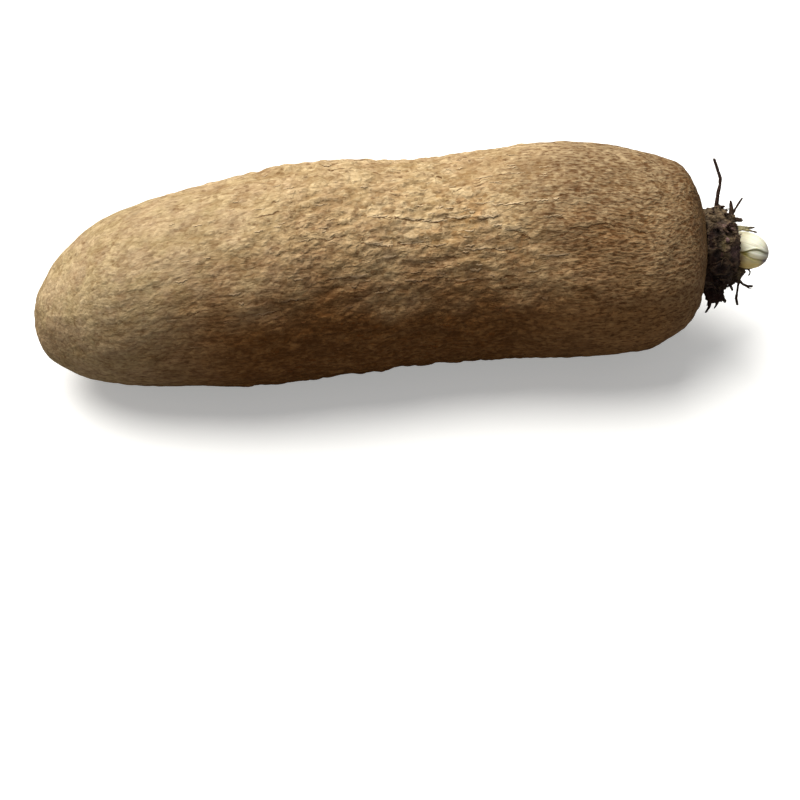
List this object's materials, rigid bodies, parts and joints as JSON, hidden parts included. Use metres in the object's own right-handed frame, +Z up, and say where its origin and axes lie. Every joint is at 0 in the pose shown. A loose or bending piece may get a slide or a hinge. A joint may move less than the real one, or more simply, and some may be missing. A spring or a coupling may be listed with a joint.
{
  "type": "white yam",
  "caption": "Long brown yam tuber lying on its side, with a dark root crown and a pale sprout bud at one end.",
  "frame": {"origin": "on the resting surface, under the middle of the yam's bounding box", "axes": "+X along the tuber from its blunt tip to its root crown, +Z up from the surface that it lies on"},
  "size_m": [0.3662, 0.1104, 0.1061],
  "materials": {
    "skin": "dry corky skin, light tan to earth brown, finely wrinkled along its length",
    "root": "dark, rough, woody bark with dry fibres",
    "bud": "smooth, softly glossy cream scales with yellow-green folds"
  },
  "bodies": {
    "root": {"tuber": "skin", "root_crown": "root", "sprout_bud": "bud"}
  },
  "joints": []
}
